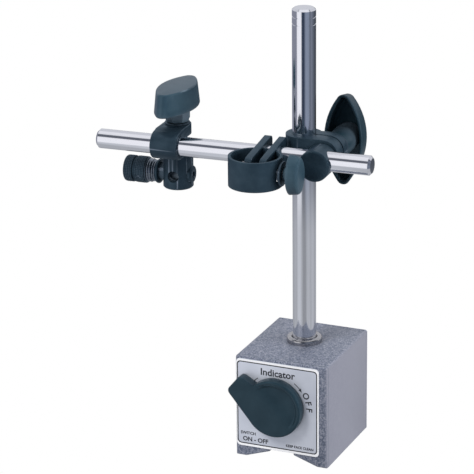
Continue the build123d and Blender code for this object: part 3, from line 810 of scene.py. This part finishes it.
def knurled(length, radius, bore_r, place, bands, teeth=48, depth=0.28, count=144):
    """Turned nut with crossed knurling on its bands."""
    stations = 60
    profile = []
    rings = []
    for i in range(stations + 1):
        z = length * i / stations
        edge = min(z, length - z)
        r = radius - max(0.0, 0.8 - edge) ** 2 * 0.7
        rough = 0.0
        for low, high in bands:
            if low <= z <= high:
                rough = min(1.0, (z - low) / 0.3, (high - z) / 0.3)
        if not any(low <= z <= high for low, high in bands):
            r = min(r, radius - 0.75) if 0.5 < z < length - 0.5 else r
        ring = []
        for k in range(count):
            t = 2 * math.pi * k / count
            a = math.sin(teeth / 2 * (t + z / radius))
            b = math.sin(teeth / 2 * (t - z / radius))
            rr = r + rough * depth * (a * b - 0.3)
            ring.append((rr * math.cos(t), rr * math.sin(t), z))
        rings.append(ring)
    front = [(radius * 0.62, length - 0.15), (radius * 0.5, length)]
    rings += [circle(r, z, count) for r, z in front] + [[(0, 0, length)]]
    back = [circle(bore_r, 10.2, count), circle(bore_r, 0, count)]
    return loft([[(0, 0, 10.2)]] + back + rings, place)


nut = knurled(
    12.2, 6.8, BOLT_R + RUN, plane(spot(CLIP_U - 15.95, CLIP_V, DRAW_Z), W, V),
    ((0.7, 6.2), (7.5, 11.6)),
)
nut_mesh = finish_mesh(nut, "knurled_nut_body")
publish(nut_mesh, "knurled_nut_body", "black_metal", "nut", ("knurled_nut",), sharp=60)

# ------------------------------------------------------------------ ring holder
for cheek in ("cheek_left", "cheek_right"):
    soften(cheek, f"{cheek}_plate", 0.4, "ring_holder", "black_metal")
soften("ring_band", "ring_band_turned", 0.45, "ring_holder", "satin_metal")
soften("ring_washer", "ring_washer_turned", 0.25, "ring_holder", "black_metal", 2)


def threaded(length, radius, pitch, depth, place, count=24):
    """Screw shank with a running thread."""
    rings = [[(0, 0, 0)]]
    steps = int(length / pitch * 5)
    for i in range(steps + 1):
        z = length * i / steps
        ring = []
        for k in range(count):
            t = 2 * math.pi * k / count
            phase = (z / pitch - k / count) % 1.0
            r = radius - depth * (1 - abs(2 * phase - 1))
            ring.append((r * math.cos(t), r * math.sin(t), z))
        rings.append(ring)
    rings.append([(0, 0, length)])
    return loft(rings, place)


screw = threaded(24.8, SCREW_R, 0.9, 0.3, plane(spot(SCREW_U, RING_V, SCREW_Z), V, W))
head_place = plane(spot(SCREW_U, RING_V, SCREW_Z), W, V)
head_rings = [
    [(0, 0, 0)], circle(4.4, 0, 6), circle(4.4, 2.7, 6), circle(4.1, 3.0, 6), [(0, 0, 3.0)],
]
head = loft(head_rings, head_place)
screw_mesh = joined([screw, head], "ring_screw_threaded")
publish(screw_mesh, "ring_screw_threaded", "steel", "ring_holder", ("ring_screw",), sharp=50)

shell, hub = wing(
    mouth=(21.6, 15.0), crown=(20.0, 13.4), height=6.2, wall=1.2, tip=3.6, crown_round=1.8,
    place=plane(spot(4.6, RING_V, SCREW_Z), V, W), hub=(3.8, 3.4, 2.7), bore_r=SCREW_R + RUN,
)
ring_wing = joined([shell, hub], "ring_wing")
publish(ring_wing, "ring_wing", "knob_plastic", "ring_knob", ("ring_knob",))

# ------------------------------------------------------------------ world, floor and lights
VIEW_AZ = math.radians(23.537)
VIEW_EL = math.radians(19.359)
VIEW_ROLL = math.radians(-0.613)
AIM_HEIGHT = 0.120
AIM_ASIDE = 0.032954
AIM_DOWN = 0.00702
VIEW_DISTANCE = 1.30509
LENS = 196.16


def build_world():
    """White for the camera, soft light, and studio cards that only show in reflections.

    The cards' places and tones were set after readings across the photographed column.
    """
    world = bpy.data.worlds.new("studio")
    bpy.context.scene.world = world
    world.use_nodes = True
    tree = world.node_tree
    tree.nodes.clear()

    def node(kind, **settings):
        made = tree.nodes.new(kind)
        for key, value in settings.items():
            setattr(made, key, value)
        return made

    def link(a, b):
        tree.links.new(a, b)

    def calc(operation, a, b):
        made = node("ShaderNodeMath", operation=operation)
        for socket, value in zip(made.inputs, (a, b)):
            if isinstance(value, bpy.types.NodeSocket):
                link(value, socket)
            else:
                socket.default_value = value
        return made.outputs[0]

    def ramp(fac, stops):
        made = node("ShaderNodeValToRGB")
        link(fac, made.inputs[0])
        while len(made.color_ramp.elements) < len(stops):
            made.color_ramp.elements.new(0.5)
        for element, (place, colour) in zip(made.color_ramp.elements, stops):
            element.position = place
            element.color = (*colour, 1)
        return made.outputs[0]

    direction = node("ShaderNodeTexCoord").outputs["Generated"]
    parts = node("ShaderNodeSeparateXYZ")
    link(direction, parts.inputs[0])
    x, y, z = parts.outputs
    sin_a, cos_a = math.sin(VIEW_AZ), math.cos(VIEW_AZ)
    ahead = calc("SUBTRACT", calc("MULTIPLY", x, sin_a), calc("MULTIPLY", y, cos_a))
    aside = calc("ADD", calc("MULTIPLY", x, cos_a), calc("MULTIPLY", y, sin_a))
    turn = calc("ADD", calc("DIVIDE", calc("ARCTAN2", aside, ahead), 2 * math.pi), 0.5)

    def at(degrees):
        return degrees / 360 + 0.5

    white = (0.95, 0.95, 1.0)
    navy = (0.035, 0.05, 0.085)
    dim = (0.07, 0.08, 0.10)
    edge = (0.25, 0.26, 0.32)
    blue = (0.24, 0.28, 0.37)
    dusk = (0.12, 0.14, 0.18)
    slate = (0.20, 0.22, 0.28)
    cards = ramp(turn, [
        (at(-180), edge), (at(-110), edge), (at(-78), edge), (at(-68), white), (at(-31), white),
        (at(-21), navy), (at(-2), navy), (at(14), blue), (at(42), blue), (at(58), dusk),
        (at(72), slate), (at(96), dusk), (at(120), dim), (at(180), dim),
    ])
    over = ramp(calc("ADD", calc("MULTIPLY", z, 0.5), 0.5), [
        (0.0, (0, 0, 0)), (0.75, (0, 0, 0)), (0.79, (0.5, 0.5, 0.5)),
        (0.915, (0.5, 0.5, 0.5)), (0.94, (1, 1, 1)),
    ])
    off_view = calc("ABSOLUTE", calc("SUBTRACT", turn, 0.5), 0.0)
    lifted = calc("MULTIPLY", calc("GREATER_THAN", z, 0.04), calc("GREATER_THAN", off_view, 95 / 360))
    behind = node("ShaderNodeMix", data_type="RGBA")
    link(lifted, behind.inputs["Factor"])
    link(cards, behind.inputs[6])
    behind.inputs[7].default_value = (0.66, 0.67, 0.72, 1)
    ahead_only = calc("SUBTRACT", 1.0, lifted)
    gap = node("ShaderNodeMix", data_type="RGBA")
    dark_part = calc("MULTIPLY", calc("MINIMUM", over, 0.5), 2.0)
    link(calc("MULTIPLY", dark_part, ahead_only), gap.inputs["Factor"])
    link(behind.outputs[2], gap.inputs[6])
    gap.inputs[7].default_value = (0.12, 0.13, 0.16, 1)
    top = node("ShaderNodeMix", data_type="RGBA")
    light_part = calc("MULTIPLY", calc("SUBTRACT", calc("MAXIMUM", over, 0.5), 0.5), 2.0)
    link(light_part, top.inputs["Factor"])
    link(gap.outputs[2], top.inputs[6])
    top.inputs[7].default_value = (0.88, 0.88, 0.93, 1)

    path = node("ShaderNodeLightPath")
    glossy = node("ShaderNodeBackground")
    link(top.outputs[2], glossy.inputs[0])
    soft = node("ShaderNodeBackground")
    soft.inputs[0].default_value = (0.95, 0.96, 1.0, 1)
    soft.inputs[1].default_value = 0.6
    plain = node("ShaderNodeBackground")
    plain.inputs[0].default_value = (1, 1, 1, 1)
    first = node("ShaderNodeMixShader")
    link(path.outputs["Is Glossy Ray"], first.inputs[0])
    link(soft.outputs[0], first.inputs[1])
    link(glossy.outputs[0], first.inputs[2])
    second = node("ShaderNodeMixShader")
    link(path.outputs["Is Camera Ray"], second.inputs[0])
    link(first.outputs[0], second.inputs[1])
    link(plain.outputs[0], second.inputs[2])
    out = node("ShaderNodeOutputWorld")
    link(second.outputs[0], out.inputs[0])


def floor_tone(tree, place):
    """What the chrome sees in the floor: lighter or darker by direction from the base's centre.

    The stops were set after brightness readings across the photographed column.
    """
    turned = tree.nodes.new("ShaderNodeMapping")
    turned.inputs["Rotation"].default_value = (0, 0, math.pi / 2 - VIEW_AZ)
    tree.links.new(place, turned.inputs["Vector"])
    sector = tree.nodes.new("ShaderNodeTexGradient")
    sector.gradient_type = "RADIAL"
    tree.links.new(turned.outputs[0], sector.inputs["Vector"])
    tone = tree.nodes.new("ShaderNodeValToRGB")
    tree.links.new(sector.outputs["Fac"], tone.inputs[0])
    stops = [
        (-130, 0.40), (-100, 0.47), (-80, 0.44), (-66, 0.60), (-42, 0.60), (-26, 0.46),
        (-12, 0.33), (10, 0.32), (18, 0.42), (30, 0.50), (52, 0.50), (60, 0.44),
        (87, 0.52), (105, 0.46), (121, 0.38), (150, 0.45),
    ]
    while len(tone.color_ramp.elements) < len(stops):
        tone.color_ramp.elements.new(0.5)
    for element, (degrees, light) in zip(tone.color_ramp.elements, stops):
        element.position = degrees / 360 + 0.5
        element.color = (0.97 * light, light, 1.08 * light, 1)
    return tone.outputs[0]


def build_floor():
    """Floor that gives its own light: white to the camera, darker in reflections, with no shadow."""
    bm = bmesh.new()
    bmesh.ops.create_circle(bm, cap_ends=True, segments=96, radius=3.0)
    floor = bpy.data.objects.new("floor", finish_mesh(bm, "floor"))
    bpy.context.scene.collection.objects.link(floor)
    floor.location = (0, 0, -0.0005)
    material = bpy.data.materials.new("pale_floor")
    material.use_nodes = True
    tree = material.node_tree
    tree.nodes.clear()
    path = tree.nodes.new("ShaderNodeLightPath")
    coords = tree.nodes.new("ShaderNodeTexCoord")
    length = tree.nodes.new("ShaderNodeVectorMath")
    length.operation = "LENGTH"
    tree.links.new(coords.outputs["Object"], length.inputs[0])
    fade = tree.nodes.new("ShaderNodeMapRange")
    fade.inputs["From Min"].default_value = 0.34
    fade.inputs["From Max"].default_value = 0.50
    tree.links.new(length.outputs["Value"], fade.inputs["Value"])
    pale = tree.nodes.new("ShaderNodeEmission")
    tree.links.new(floor_tone(tree, coords.outputs["Object"]), pale.inputs[0])
    clear = tree.nodes.new("ShaderNodeBsdfTransparent")
    near = tree.nodes.new("ShaderNodeMixShader")
    tree.links.new(fade.outputs["Result"], near.inputs[0])
    tree.links.new(pale.outputs[0], near.inputs[1])
    tree.links.new(clear.outputs[0], near.inputs[2])
    seen = tree.nodes.new("ShaderNodeMixShader")
    white = tree.nodes.new("ShaderNodeEmission")
    tree.links.new(path.outputs["Is Camera Ray"], seen.inputs[0])
    tree.links.new(near.outputs[0], seen.inputs[1])
    tree.links.new(white.outputs[0], seen.inputs[2])
    out = tree.nodes.new("ShaderNodeOutputMaterial")
    tree.links.new(seen.outputs[0], out.inputs[0])
    floor.data.materials.append(material)


def area_light(name, place, target, size, power):
    data = bpy.data.lights.new(name, "AREA")
    data.shape = "DISK"
    data.size = size
    data.energy = power
    lamp = bpy.data.objects.new(name, data)
    lamp.visible_glossy = False
    bpy.context.scene.collection.objects.link(lamp)
    lamp.location = place
    lamp.rotation_mode = "QUATERNION"
    lamp.rotation_quaternion = (Vector(target) - Vector(place)).to_track_quat("-Z", "Y")


def build_camera():
    sin_a, cos_a = math.sin(VIEW_AZ), math.cos(VIEW_AZ)
    sin_e, cos_e = math.sin(VIEW_EL), math.cos(VIEW_EL)
    back = Vector((sin_a * cos_e, -cos_a * cos_e, sin_e))
    right = Vector((cos_a, sin_a, 0))
    up = back.cross(right)
    side = right * math.cos(VIEW_ROLL) + up * math.sin(VIEW_ROLL)
    above = -right * math.sin(VIEW_ROLL) + up * math.cos(VIEW_ROLL)
    data = bpy.data.cameras.new("camera")
    data.sensor_width = 36
    data.lens = LENS
    data.clip_start = 0.05
    data.clip_end = 20
    camera = bpy.data.objects.new("camera", data)
    bpy.context.scene.collection.objects.link(camera)
    aim = Vector((0, 0, AIM_HEIGHT)) - right * AIM_ASIDE - up * AIM_DOWN
    place = aim + back * VIEW_DISTANCE
    camera.matrix_world = Matrix.Translation(place) @ Matrix((side, above, back)).transposed().to_4x4()
    bpy.context.scene.camera = camera


build_world()
build_floor()
area_light("key", place=(-0.45, -0.85, 1.0), target=(0, 0, 0.1), size=0.5, power=11.5)
area_light("side_fill", place=(1.2, 0.1, 0.35), target=(0, 0, 0.06), size=0.7, power=16)
build_camera()
bpy.context.scene.view_settings.view_transform = "Standard"
